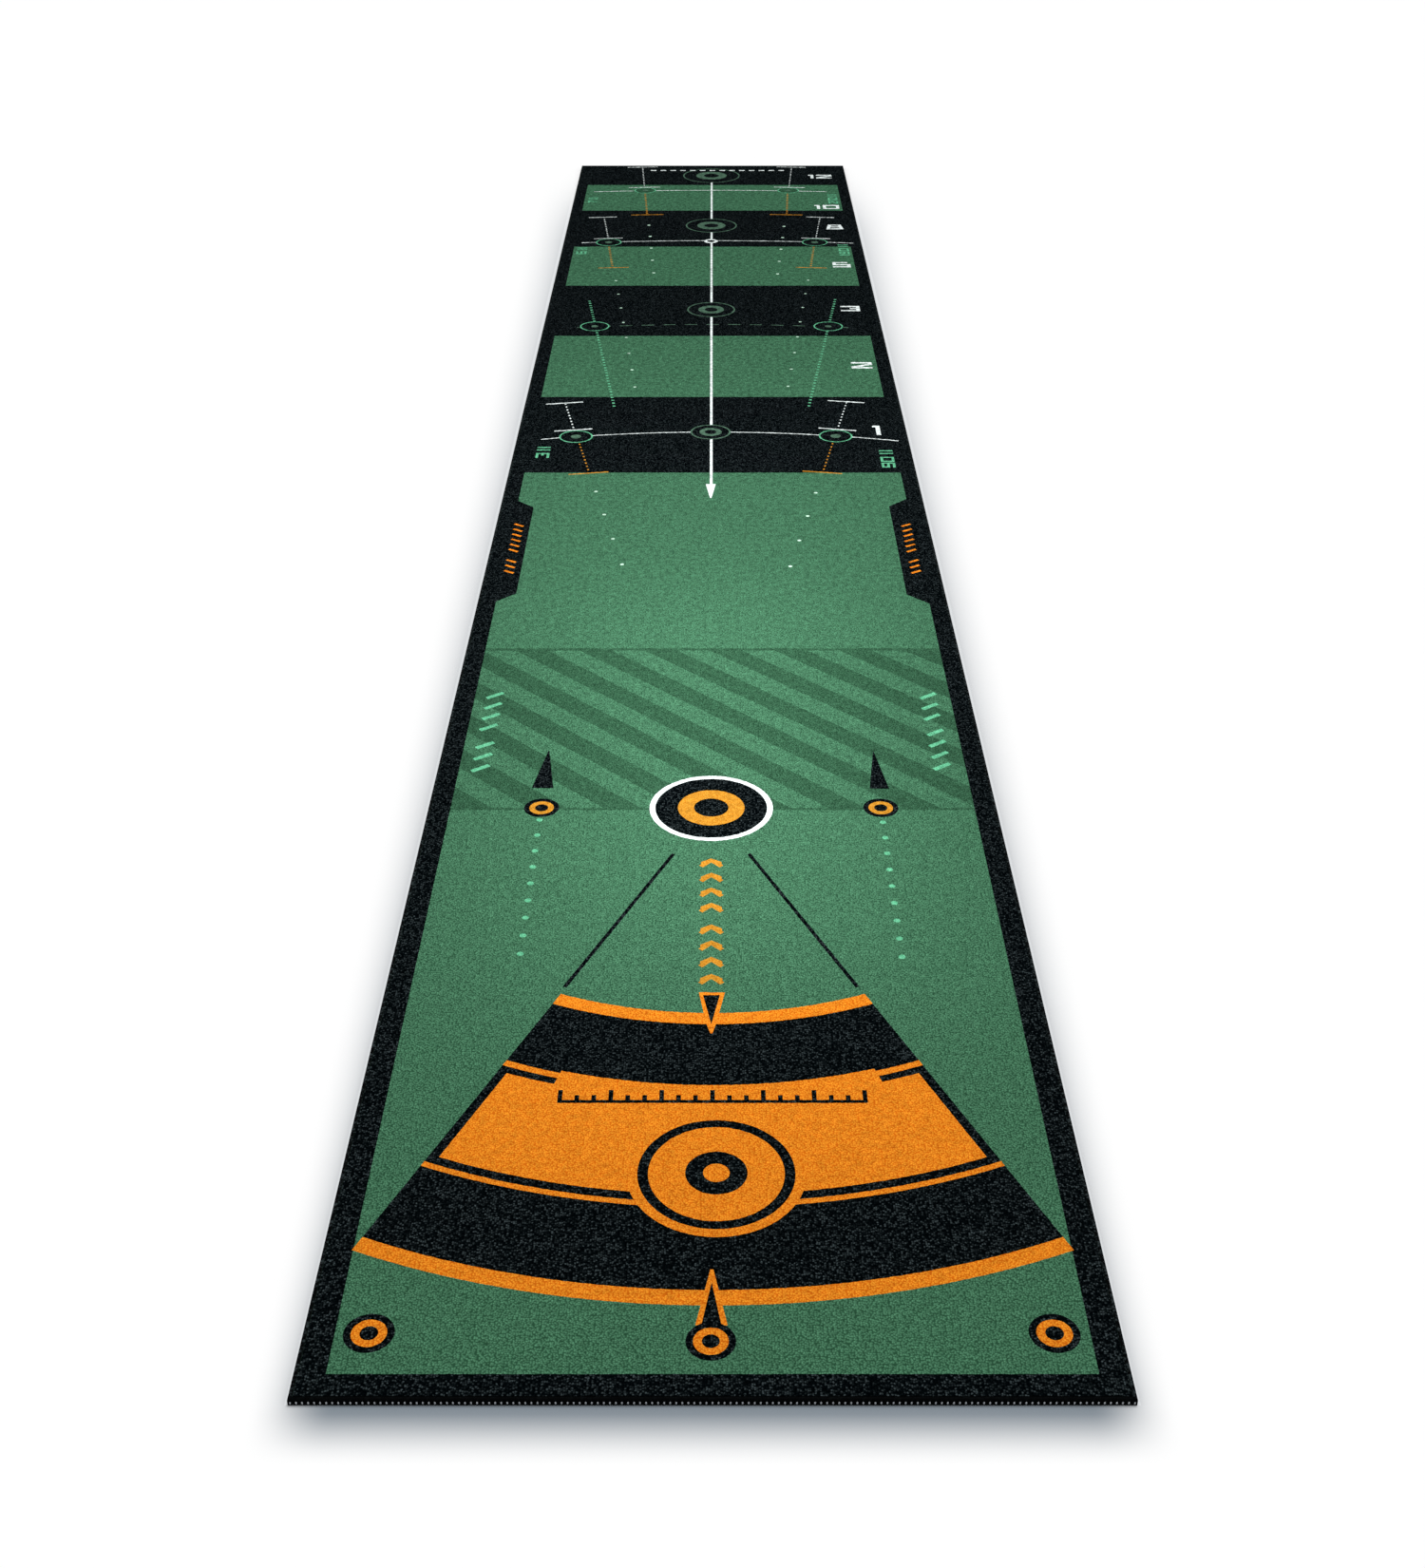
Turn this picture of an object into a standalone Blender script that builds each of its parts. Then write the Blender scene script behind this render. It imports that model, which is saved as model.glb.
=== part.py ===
"""Practice putting mat: a printed pile runner, three metres long, on a rubber backing with a bound edge.

Metres, +Z up. The origin is at the middle of the footprint, on the floor. +Y runs along the mat, from the
tee end to the far end, and +X is to the right of a player who stands at the tee end.

From the floor up, the mat is a rubber backing, an adhesive coat, a woven scrim and the printed pile.
All four are clamped at their margins inside a folded edge binding, in four mitred lengths, and a row of
thread runs along the outer face of each length.
"""

import math

import bmesh
import bpy

# Overall size
MAT_WIDTH = 0.500
MAT_LENGTH = 3.000
MAT_HEIGHT = 0.0054

# Clearance between neighbouring pieces
GAP = 0.0003

# Layer thicknesses, from the floor up
RUBBER_THICKNESS = 0.0022
ADHESIVE_THICKNESS = 0.0003
SCRIM_THICKNESS = 0.0004

# Edge binding: a tape folded round the edge into a channel
THREAD_PROUD = 0.0002
TAPE_FLANGE = 0.0006
TAPE_WALL = 0.0012
TAPE_REACH = 0.0025
TAPE_BELOW_PILE = 0.0002
TAPE_TOP_RADIUS = 0.0010
TAPE_BOTTOM_RADIUS = 0.0004
ARC_STEPS = 6

# Thread row: a cord sunk in a groove of the binding's outer face
THREAD_HEIGHT = 0.0014
THREAD_CENTRE_Z = 0.0025
GROOVE_DEPTH = 0.0006
GROOVE_CLEARANCE = 0.0002

# Softened arris of the pile and of the rubber
ARRIS = 0.0002

# Where each piece starts, measured in from the outer edge of the mat
BINDING_FACE = THREAD_PROUD
BINDING_INNER_WALL = BINDING_FACE + TAPE_WALL
BINDING_LIP = BINDING_FACE + TAPE_REACH
LAYER_EDGE = BINDING_INNER_WALL + GAP
CLEAR_OF_LIP = BINDING_LIP + GAP

# Heights of the layers
BINDING_TOP = MAT_HEIGHT - TAPE_BELOW_PILE
LAYER_FLOOR = TAPE_FLANGE + GAP
LAYER_CEILING = BINDING_TOP - TAPE_FLANGE - GAP
ADHESIVE_Z = RUBBER_THICKNESS + GAP
SCRIM_Z = ADHESIVE_Z + ADHESIVE_THICKNESS + GAP
PILE_Z = SCRIM_Z + SCRIM_THICKNESS + GAP

# Name of each side, with how many quarter turns it stands from the right-hand side
SIDES = {"right": 0, "rear": 1, "left": 2, "front": 3}

# Colour in linear RGB, roughness
FINISHES = {
    "pile_green": ((0.075, 0.235, 0.125), 0.95),
    "scrim_grey": ((0.320, 0.310, 0.280), 0.90),
    "adhesive_cream": ((0.560, 0.520, 0.400), 0.60),
    "rubber_black": ((0.012, 0.013, 0.014), 0.75),
    "tape_black": ((0.006, 0.008, 0.009), 0.85),
    "thread_grey": ((0.300, 0.320, 0.340), 0.70),
}


def clear_scene():
    for obj in list(bpy.data.objects):
        bpy.data.objects.remove(obj, do_unlink=True)


def make_material(name):
    """A Principled material with the colour and roughness listed under its name."""
    color, roughness = FINISHES[name]
    material = bpy.data.materials.new(name)
    material.use_nodes = True
    shader = material.node_tree.nodes["Principled BSDF"]
    shader.inputs["Base Color"].default_value = (*color, 1.0)
    shader.inputs["Roughness"].default_value = roughness
    shader.inputs["Metallic"].default_value = 0.0
    return material


def add_object(name, bm, material):
    """Turns a bmesh into a named object with one material and outward normals."""
    bmesh.ops.recalc_face_normals(bm, faces=bm.faces)
    mesh = bpy.data.meshes.new(name)
    bm.to_mesh(mesh)
    bm.free()
    mesh.materials.append(material)
    obj = bpy.data.objects.new(name, mesh)
    bpy.context.scene.collection.objects.link(obj)
    return obj


def rectangle_loop(bm, inset, z):
    """Four vertices of the mat's outline, drawn in by inset, at height z."""
    half_width = MAT_WIDTH / 2 - inset
    half_length = MAT_LENGTH / 2 - inset
    corners = ((1, 1), (-1, 1), (-1, -1), (1, -1))
    return [bm.verts.new((sx * half_width, sy * half_length, z)) for sx, sy in corners]


def stepped_slab(name, levels, material):
    """A slab over the whole mat: each level is (inset, z), and the levels are joined from bottom to top."""
    bm = bmesh.new()
    loops = [rectangle_loop(bm, inset, z) for inset, z in levels]
    for lower, upper in zip(loops, loops[1:]):
        for i in range(4):
            j = (i + 1) % 4
            bm.faces.new((lower[i], lower[j], upper[j], upper[i]))
    bm.faces.new(loops[0])
    bm.faces.new(loops[-1])
    return add_object(name, bm, material)


def arc(center, radius, start, end):
    """Points of a circular arc from start to end, in degrees, with both ends."""
    angles = [math.radians(start + (end - start) * i / ARC_STEPS) for i in range(ARC_STEPS + 1)]
    return [(center[0] + radius * math.cos(a), center[1] + radius * math.sin(a)) for a in angles]


def mitred_strip(name, profile, turns, joint_gap, material):
    """Sweeps a closed profile of (inset, z) points along one side of the mat.

    Each point's run ends where the side meets its neighbour at 45 degrees, less half of the joint's gap.
    """
    along, across = (MAT_LENGTH, MAT_WIDTH) if turns % 2 == 0 else (MAT_WIDTH, MAT_LENGTH)
    cos_turn = round(math.cos(turns * math.pi / 2))
    sin_turn = round(math.sin(turns * math.pi / 2))
    bm = bmesh.new()
    ends = []
    for sign in (-1, 1):
        loop = []
        for inset, z in profile:
            out = across / 2 - inset
            run = sign * (along / 2 - inset - joint_gap / 2)
            loop.append(bm.verts.new((out * cos_turn - run * sin_turn, out * sin_turn + run * cos_turn, z)))
        ends.append(loop)
    first, last = ends
    for i in range(len(profile)):
        j = (i + 1) % len(profile)
        bm.faces.new((first[i], first[j], last[j], last[i]))
    bm.faces.new(first)
    bm.faces.new(last)
    return add_object(name, bm, material)


def shade_rounded(obj):
    obj.data.shade_smooth()
    obj.data.set_sharp_from_angle(angle=math.radians(30))


def binding_profile():
    """Section of the folded tape: two flanges, a wall with a thread groove, and rounded outer folds."""
    groove_low = THREAD_CENTRE_Z - THREAD_HEIGHT / 2 - GROOVE_CLEARANCE
    groove_high = THREAD_CENTRE_Z + THREAD_HEIGHT / 2 + GROOVE_CLEARANCE
    bottom_fold = arc((BINDING_FACE + TAPE_BOTTOM_RADIUS, TAPE_BOTTOM_RADIUS), TAPE_BOTTOM_RADIUS, 270, 180)
    top_fold = arc((BINDING_FACE + TAPE_TOP_RADIUS, BINDING_TOP - TAPE_TOP_RADIUS), TAPE_TOP_RADIUS, 180, 90)
    groove = [
        (BINDING_FACE, groove_low),
        (BINDING_FACE + GROOVE_DEPTH, groove_low),
        (BINDING_FACE + GROOVE_DEPTH, groove_high),
        (BINDING_FACE, groove_high),
    ]
    inside = [
        (BINDING_LIP, BINDING_TOP),
        (BINDING_LIP, BINDING_TOP - TAPE_FLANGE),
        (BINDING_INNER_WALL, BINDING_TOP - TAPE_FLANGE),
        (BINDING_INNER_WALL, TAPE_FLANGE),
        (BINDING_LIP, TAPE_FLANGE),
        (BINDING_LIP, 0.0),
    ]
    return bottom_fold + groove + top_fold + inside


def thread_profile():
    """Section of the thread: a half-round cord, flat towards the bottom of its groove."""
    back = BINDING_FACE + GROOVE_DEPTH - GROOVE_CLEARANCE
    low = THREAD_CENTRE_Z - THREAD_HEIGHT / 2
    high = THREAD_CENTRE_Z + THREAD_HEIGHT / 2
    bulge = []
    for i in range(ARC_STEPS + 1):
        angle = math.pi * (i / ARC_STEPS - 0.5)
        out = BINDING_FACE - THREAD_PROUD * math.cos(angle)
        bulge.append((out, THREAD_CENTRE_Z + THREAD_HEIGHT / 2 * math.sin(angle)))
    return [(back, high), (back, low)] + bulge


def build_rubber_backing(material):
    """Foamed rubber sheet, thinned on its underside where the binding folds below it."""
    levels = [
        (CLEAR_OF_LIP + ARRIS, 0.0),
        (CLEAR_OF_LIP, ARRIS),
        (CLEAR_OF_LIP, LAYER_FLOOR),
        (LAYER_EDGE, LAYER_FLOOR),
        (LAYER_EDGE, RUBBER_THICKNESS),
    ]
    return stepped_slab("rubber_backing", levels, material)


def build_adhesive_coat(material):
    levels = [(LAYER_EDGE, ADHESIVE_Z), (LAYER_EDGE, ADHESIVE_Z + ADHESIVE_THICKNESS)]
    return stepped_slab("adhesive_coat", levels, material)


def build_woven_scrim(material):
    levels = [(LAYER_EDGE, SCRIM_Z), (LAYER_EDGE, SCRIM_Z + SCRIM_THICKNESS)]
    return stepped_slab("woven_scrim", levels, material)


def build_printed_pile(material):
    """Pile fabric, crushed at its margin where the binding folds over it."""
    levels = [
        (LAYER_EDGE, PILE_Z),
        (LAYER_EDGE, LAYER_CEILING),
        (CLEAR_OF_LIP, LAYER_CEILING),
        (CLEAR_OF_LIP, MAT_HEIGHT - ARRIS),
        (CLEAR_OF_LIP + ARRIS, MAT_HEIGHT),
    ]
    return stepped_slab("printed_pile", levels, material)


def build_edges(tape, thread):
    """The binding and its thread row, on each of the four sides."""
    mitre_gap = GAP * math.sqrt(2)
    for side, turns in SIDES.items():
        binding = mitred_strip(f"{side}_edge_binding", binding_profile(), turns, mitre_gap, tape)
        shade_rounded(binding)
        row = mitred_strip(f"{side}_thread_row", thread_profile(), turns, mitre_gap, thread)
        shade_rounded(row)


def main():
    clear_scene()
    materials = {name: make_material(name) for name in FINISHES}
    build_rubber_backing(materials["rubber_black"])
    build_adhesive_coat(materials["adhesive_cream"])
    build_woven_scrim(materials["scrim_grey"])
    build_printed_pile(materials["pile_green"])
    build_edges(materials["tape_black"], materials["thread_grey"])


main()
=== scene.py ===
"""Looks of the practice putting mat: printed pile, folded edge tape, sewn rows and rubber backing.

Metres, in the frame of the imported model: +X right, +Y along the mat away from the player, +Z up.
The print is laid out in millimetres, from the mat's centre line and from its near edge.
"""

import math

import bpy
import numpy as np
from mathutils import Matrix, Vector
from mathutils.geometry import delaunay_2d_cdt


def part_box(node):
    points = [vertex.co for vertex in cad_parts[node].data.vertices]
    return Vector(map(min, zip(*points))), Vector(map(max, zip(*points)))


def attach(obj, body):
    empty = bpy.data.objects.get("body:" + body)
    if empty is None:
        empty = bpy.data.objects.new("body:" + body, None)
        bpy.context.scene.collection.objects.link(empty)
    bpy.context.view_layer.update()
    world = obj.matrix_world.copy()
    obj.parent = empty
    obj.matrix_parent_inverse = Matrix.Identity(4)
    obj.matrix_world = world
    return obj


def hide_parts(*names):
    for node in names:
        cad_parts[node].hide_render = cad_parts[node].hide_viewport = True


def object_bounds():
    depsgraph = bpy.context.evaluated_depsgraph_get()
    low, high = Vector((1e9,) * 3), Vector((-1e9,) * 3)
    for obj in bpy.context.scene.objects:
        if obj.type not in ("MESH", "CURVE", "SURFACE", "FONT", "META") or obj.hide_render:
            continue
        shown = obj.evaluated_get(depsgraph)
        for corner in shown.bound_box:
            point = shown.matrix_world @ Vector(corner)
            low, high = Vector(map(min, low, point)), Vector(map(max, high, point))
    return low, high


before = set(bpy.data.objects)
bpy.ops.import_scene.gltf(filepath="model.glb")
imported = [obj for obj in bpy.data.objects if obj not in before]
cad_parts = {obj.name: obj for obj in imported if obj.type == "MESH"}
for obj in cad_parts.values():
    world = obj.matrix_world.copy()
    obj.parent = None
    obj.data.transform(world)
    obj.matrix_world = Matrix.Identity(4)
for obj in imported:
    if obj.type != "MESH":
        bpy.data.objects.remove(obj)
cad_low, cad_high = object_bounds()
pile_low, pile_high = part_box("printed_pile")
tape_low, tape_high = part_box("front_edge_binding")
_, rubber_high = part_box("rubber_backing")

MM = 0.001
BODY = "root"
NEAR_EDGE = cad_low.y
MAT_WIDTH = (cad_high.x - cad_low.x) / MM
MAT_LENGTH = (cad_high.y - cad_low.y) / MM

# Section of the edge: insets from the outer edge of the mat, heights, and the tape's folds
TAPE_FACE = tape_low.y - NEAR_EDGE
TAPE_LIP = tape_high.y - NEAR_EDGE
TAPE_TOP = tape_high.z
TAPE_FLANGE = 0.0006
TAPE_WALL = 0.0012
TOP_FOLD = 0.0010
BOTTOM_FOLD = 0.0005
LIP_SOFTENING = 0.0002
CLEARANCE = 0.0003
PILE_EDGE = TAPE_LIP + CLEARANCE

# Pile: the ground fabric, and the dyed tufts that stand on it. Pitch and tolerance are in millimetres, and
# jitter is a share of the pitch.
GROUND_THICKNESS = 0.0006
GROUND_TOP = pile_low.z + GROUND_THICKNESS
TUFT_TOP = pile_high.z
TUFT_RELIEF = 0.0004
TUFT_PITCH = 2.0
TUFT_JITTER = 0.30
CIRCLE_POINTS = 32
RIM_TOLERANCE = 0.01

# Sewn row along the face of the tape: one visible bead of thread to each stitch
STITCH_PITCH = 0.00355
STITCH_HEIGHT = 0.0022
STITCH_Z = 0.0021
STITCH_MARGIN = 0.0010
TAPE_PUCKER = 0.00022
TAPE_MITRE = 0.00004

# Underside: shallow ribs along the rubber
RIB_PITCH = 0.004
RIB_DEPTH = 0.0005

# Dyes and painted light: linear colour of the gaps between tufts and of the tips, each partly the dye and
# partly painted light (painted shade in the gaps, painted highlight on the tips), how bright the dullest
# tuft is, how rare the bright ones are, and how bright the dye is still painted beyond the main target, a
# painted shade
DYES_AND_PAINTED_LIGHT = {
    "green": ((0.0210, 0.0740, 0.0380), (0.1060, 0.2880, 0.1640), 0.45, 1.0, 1.0),
    "shade": ((0.0130, 0.0470, 0.0230), (0.0630, 0.1740, 0.0990), 0.45, 1.0, 1.0),
    "black": ((0.0002, 0.0009, 0.0014), (0.0600, 0.0800, 0.0850), 0.02, 3.2, 0.78),
    "orange": ((0.5600, 0.1220, 0.0050), (0.9900, 0.3850, 0.0300), 0.50, 1.0, 1.0),
    # amber: the orange with less red, a painted shade so that its red brightens less under the lamps
    "amber": ((0.4200, 0.1550, 0.0100), (0.6200, 0.3200, 0.0420), 0.60, 1.0, 1.0),
    "mint": ((0.0700, 0.3300, 0.1700), (0.2000, 0.5800, 0.3600), 0.60, 1.0, 1.0),
    "pale": ((0.4800, 0.7000, 0.5600), (0.6600, 0.9300, 0.7500), 0.75, 1.0, 1.0),
    "white": ((0.6800, 0.7600, 0.7500), (0.8900, 0.9600, 0.9400), 0.75, 1.0, 1.0),
    "sage": ((0.0400, 0.0950, 0.0600), (0.1200, 0.2050, 0.1500), 0.60, 1.0, 1.0),
}

# Spacing of the tufts that the pile materials draw
TUFT_SPACING = 0.0015

# Material slot of each dye
SLOTS = {
    "green": "pile_green",
    "shade": "pile_dark_green",
    "black": "pile_black",
    "orange": "pile_orange",
    "amber": "pile_orange",
    "mint": "pile_mint",
    "pale": "pile_white",
    "white": "pile_white",
    "sage": "pile_mint",
}

# Print, in millimetres. The print as a whole is laid a little away from the player.
PRINT_SHIFT = 0.9
BORDER_NEAR = 18.6
FIELD_HALF = 230.2
STRIPES_START = 658.0
STRIPES_END = 965.5
BANDS = (1441.0, 1710.6, 1969.4, 2218.5, 2439.0, 2669.0, 2849.5)
TARGET = (-1.1, 660.4)
FAN_CENTRE = (0.2, 660.4)
FAN_ANGLE = 23.2
EMBLEM = (2.6, 193.0)
LINE_X = -1.6


# ---- outlines


def rectangle(left, right, near, far):
    return [(left, near), (right, near), (right, far), (left, far)]


def polar(centre, radius, degrees):
    """A point at a bearing: 0 points away from the player, 90 to the right, 180 towards the player."""
    angle = math.radians(degrees)
    return (centre[0] + radius * math.sin(angle), centre[1] + radius * math.cos(angle))


def arc(centre, radius, start, end):
    """Points of an arc, with both ends, no further apart than the tufts."""
    turn = abs(end - start)
    by_angle = math.ceil(turn / 360 * CIRCLE_POINTS)
    by_length = math.ceil(radius * math.radians(turn) / TUFT_PITCH)
    steps = max(6, by_angle, by_length)
    return [polar(centre, radius, start + (end - start) * i / steps) for i in range(steps + 1)]


def circle(centre, radius):
    return arc(centre, radius, 0.0, 360.0)[:-1]


def arc_band(centre, inner, outer, start, end):
    return arc(centre, inner, start, end) + arc(centre, outer, end, start)


def bar(start, end, width):
    """A straight bar of that width from start to end."""
    run_x = end[0] - start[0]
    run_y = end[1] - start[1]
    length = math.hypot(run_x, run_y)
    side_x = -run_y / length * width / 2
    side_y = run_x / length * width / 2
    return [
        (start[0] - side_x, start[1] - side_y),
        (end[0] - side_x, end[1] - side_y),
        (end[0] + side_x, end[1] + side_y),
        (start[0] + side_x, start[1] + side_y),
    ]


def between(start, end, share):
    return (start[0] + (end[0] - start[0]) * share, start[1] + (end[1] - start[1]) * share)


def cut(loop, limit, sign):
    """The part of a convex loop whose x is inside limit, on the side that sign says."""
    kept = []
    for here, there in zip(loop, loop[1:] + loop[:1]):
        inside = sign * here[0] <= sign * limit
        if inside:
            kept.append(here)
        if inside != (sign * there[0] <= sign * limit):
            kept.append(between(here, there, (limit - here[0]) / (there[0] - here[0])))
    return kept


# ---- print

MARKS = []


def mark(piece, *loops):
    """Adds a printed shape: what the loops enclose together, by the even-odd rule.

    A later mark covers an earlier one.
    """
    MARKS.append((piece, [np.array(loop, float) + (0.0, PRINT_SHIFT) for loop in loops]))


def disc(piece, centre, radius):
    mark(piece, circle(centre, radius))


def ring(piece, centre, inner, outer):
    mark(piece, circle(centre, inner), circle(centre, outer))


def dots(piece, start, step, count, radius):
    for i in range(count):
        disc(piece, (start[0] + step[0] * i, start[1] + step[1] * i), radius)


def dashes(piece, start, end, pitch, width):
    """A dashed line whose dashes are about half as long as its gaps."""
    dash = 0.34
    count = round(math.dist(start, end) / pitch)
    for i in range(count):
        first = between(start, end, (i + 0.5 - dash / 2) / count)
        last = between(start, end, (i + 0.5 + dash / 2) / count)
        mark(piece, bar(first, last, width))


def print_ground():
    """Black border and bands, and green fields."""
    edge = PILE_EDGE / MM
    left = edge - MAT_WIDTH / 2
    right = MAT_WIDTH / 2 - edge
    band_1, field_2, band_2, field_3, band_3, field_4, band_4 = BANDS
    grounds = (
        ("near_border_black", edge - PRINT_SHIFT, STRIPES_START),
        ("middle_border_black", STRIPES_START, band_1),
        ("first_band_black", band_1, band_2),
        ("second_band_black", band_2, band_3),
        ("third_band_black", band_3, band_4),
        ("fourth_band_black", band_4, MAT_LENGTH - edge - PRINT_SHIFT),
    )
    for name, near, far in grounds:
        mark(name, rectangle(left, right, near, far))
    fields = (
        ("near_field_green", BORDER_NEAR, STRIPES_START),
        ("striped_field_green", STRIPES_START, STRIPES_END),
        ("middle_field_green", STRIPES_END, band_1),
        ("second_field_green", field_2, band_2),
        ("third_field_green", field_3, band_3),
        ("fourth_field_green", field_4, band_4),
    )
    for name, near, far in fields:
        mark(name, rectangle(-FIELD_HALF, FIELD_HALF, near, far))


def print_stripes():
    """Diagonal shade stripes, closed by a line at each end."""
    period = 65.75
    drift = -0.994
    first_light = 21.2
    line_widths = {STRIPES_START: 3.4, STRIPES_END: 5.0}
    height = STRIPES_END - STRIPES_START
    shift = drift * height
    for i in range(-5, 10):
        start = first_light + (i + 0.25) * period
        loop = [
            (start, STRIPES_START),
            (start + period / 2, STRIPES_START),
            (start + period / 2 + shift, STRIPES_END),
            (start + shift, STRIPES_END),
        ]
        loop = cut(cut(loop, FIELD_HALF, 1), -FIELD_HALF, -1)
        if len(loop) > 2:
            mark("stripes_shade", loop)
    for y, width in line_widths.items():
        mark("stripes_shade", rectangle(-FIELD_HALF, FIELD_HALF, y - width / 2, y + width / 2))


def print_tabs():
    """Side tabs that stand in from the border, with a row of dashes along each."""
    outer = FIELD_HALF + 1.0
    first_dash = 1149.0
    pitch = 14.2
    slant = 7.0
    missing_dash = 3
    for side, inner, near, far in ((-1, 210.4, 1097.3, 1332.5), (1, 208.0, 1094.8, 1335.8)):
        slope = outer - inner
        loop = [(outer, near - slope), (inner, near), (inner, far), (outer, far + slope)]
        mark("middle_border_black", [(side * x, y) for x, y in loop])
        for i in range(10):
            y = first_dash + pitch * i
            if i != missing_dash:
                mark("tab_dashes_orange", bar((side * 218.0, y), (side * 228.5, y + slant), 3.4))


def print_fan():
    """Backswing fan: bands on radii from the fan's centre, and a guide line to each far corner."""
    left = 180.0 + FAN_ANGLE
    right = 180.0 - FAN_ANGLE
    outline = 7.0
    step_far = 376.5
    body_far = 379.3
    bars_far = 385.3
    bars_near = 392.0
    body_near = 488.6
    corner_left = 196.8
    corner_right = 162.0

    def band(piece, far, near, start=left, end=right):
        mark(piece, arc_band(FAN_CENTRE, far, near, start, end))

    band("fan_black", 306.0, 574.5)
    band("fan_orange", 293.1, 306.5)
    band("fan_orange", 574.1, 587.0)
    band("fan_orange", 496.0, 500.8)
    near_inset = math.degrees(math.asin(outline / body_near))
    far_inset = math.degrees(math.asin(outline / body_far))
    body = arc(FAN_CENTRE, body_near, left - near_inset, right + near_inset)
    body += arc(FAN_CENTRE, body_far, right + far_inset, left - far_inset)
    mark("fan_orange", body)
    band("fan_orange", body_far, bars_far)
    band("fan_orange", step_far, body_far + 1.0, corner_left, corner_right)
    band("fan_black", bars_far, bars_near, left, corner_left)
    band("fan_black", bars_far, bars_near, corner_right, right)
    for bearing in (left, right):
        mark("guide_lines_black", bar(polar(TARGET, 81.0, bearing), polar(TARGET, 284.0, bearing), 3.3))


def print_emblem():
    """A plain ring and dot, and a scale of ticks above it."""
    disc("fan_orange", EMBLEM, 60.4)
    ring("emblem_black", EMBLEM, 46.0, 53.2)
    ring("emblem_black", EMBLEM, 9.0, 21.0)
    ticks = 19
    base = 264.5
    width = 3.3
    half = 109.5
    tall = 14.0
    short = 8.5
    mark("alignment_scale_black", rectangle(-half, half, base, base + width))
    for i in range(ticks):
        x = -half + width / 2 + (2 * half - width) * i / (ticks - 1)
        height = tall if i % 3 == 0 else short
        mark("alignment_scale_black", rectangle(x - width / 2, x + width / 2, base, base + height))


def print_start_marks():
    """Three ring marks at the tee end, and pointers on the middle one and at the fan's far arc."""
    middle = (-1.0, 44.3)
    for centre in ((-209.4, 50.7), (208.5, 50.7)):
        disc("start_marks_black", centre, 15.75)
        ring("start_marks_orange", centre, 5.7, 11.1)
    mark("start_marks_orange", [(-10.6, 57.0), (9.3, 57.0), (0.6, 104.0), (-1.4, 104.0)])
    mark("start_marks_black", [(-6.9, 57.0), (5.5, 57.0), (-0.5, 93.0)])
    disc("start_marks_black", middle, 15.4)
    ring("start_marks_orange", middle, 5.5, 10.9)
    pointer = [(-10.4, 392.8), (9.5, 392.8), (2.8, 355.0), (0.0, 343.0), (-1.6, 343.0), (-4.8, 355.0)]
    mark("start_marks_orange", pointer)
    mark("start_marks_black", [(-7.2, 389.3), (5.6, 389.3), (-0.9, 353.5)])


def print_aim_arrows():
    """Chevrons up the middle, in two groups."""
    middle = -1.0
    half = 8.6
    rise = 9.0
    width = 4.2
    pitch = 22.0
    for group_start in (404.0, 500.5):
        for i in range(4):
            y = group_start + pitch * i
            tip = (middle, y + rise)
            for side in (-1, 1):
                foot = (middle + side * half, y)
                thick = [foot, (foot[0], y + width * 1.6), (tip[0], tip[1] + width * 0.8), tip]
                mark("aim_arrows_amber", bar(foot, tip, width))
                mark("aim_arrows_amber", thick)


def print_targets():
    """Main target, a golf hole in size, and the smaller target on each side of it."""
    disc("target_white", TARGET, 54.2)
    disc("target_black", TARGET, 49.1)
    ring("target_amber", TARGET, 15.1, 29.3)
    for x in (-150.2, 147.9):
        centre = (x, 660.0)
        disc("side_targets_black", centre, 15.4)
        ring("side_targets_amber", centre, 5.8, 10.8)
    mark("side_targets_black", [(-161.6, 693.5), (-142.2, 693.5), (-151.0, 763.0)])
    mark("side_targets_black", [(140.4, 692.5), (157.8, 692.5), (148.3, 761.0)])
    dots("side_dots_mint", (-150.5, 640.0), (0.0, -24.7), 9, 2.75)
    dots("side_dots_mint", (148.0, 636.0), (0.0, -24.7), 9, 2.75)


def print_side_hatches():
    """Slanted bars down each side of the stripes, in two groups."""
    half = 7.6
    slant = 11.0
    pitch = 21.0
    for x, start, count in ((-211.0, 723.0, 3), (-211.0, 799.0, 4), (209.0, 726.0, 4), (209.0, 819.0, 3)):
        for i in range(count):
            y = start + pitch * i
            mark("side_hatches_mint", bar((x - half, y), (x + half, y + slant), 5.0))


# Numerals: the reach of a 1's flag and the step between digits, in strokes
FLAG = 0.7
DIGIT_STEP = 1.9

# Lines of each digit, in shares of its width and height
DIGITS = {
    "0": (((0, 0), (0, 1), (1, 1), (1, 0), (0, 0)),),
    "1": (((0, 1), (1, 1), (1, 0)),),
    "2": (((0, 1), (1, 1), (1, 0.70), (0, 0.15), (0, 0), (1, 0)),),
    "3": (((0, 1), (1, 1), (1, 0), (0, 0)), ((0.6, 0.5), (1, 0.5))),
    "5": (((0.8, 1), (0, 1), (0, 0.5), (1, 0.5), (1, 0), (0, 0)),),
    "6": (((1, 1), (0, 1), (0, 0), (1, 0), (1, 0.5), (0, 0.5)),),
    "7": (((0, 1), (1, 1), (0.4, 0)),),
    "8": (((0, 0), (0.14, 1), (0.86, 1), (1, 0), (0, 0)), ((0.07, 0.5), (0.93, 0.5))),
    "9": (((0, 0), (1, 0), (1, 1), (0, 1), (0, 0.5), (1, 0.5)),),
}


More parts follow.
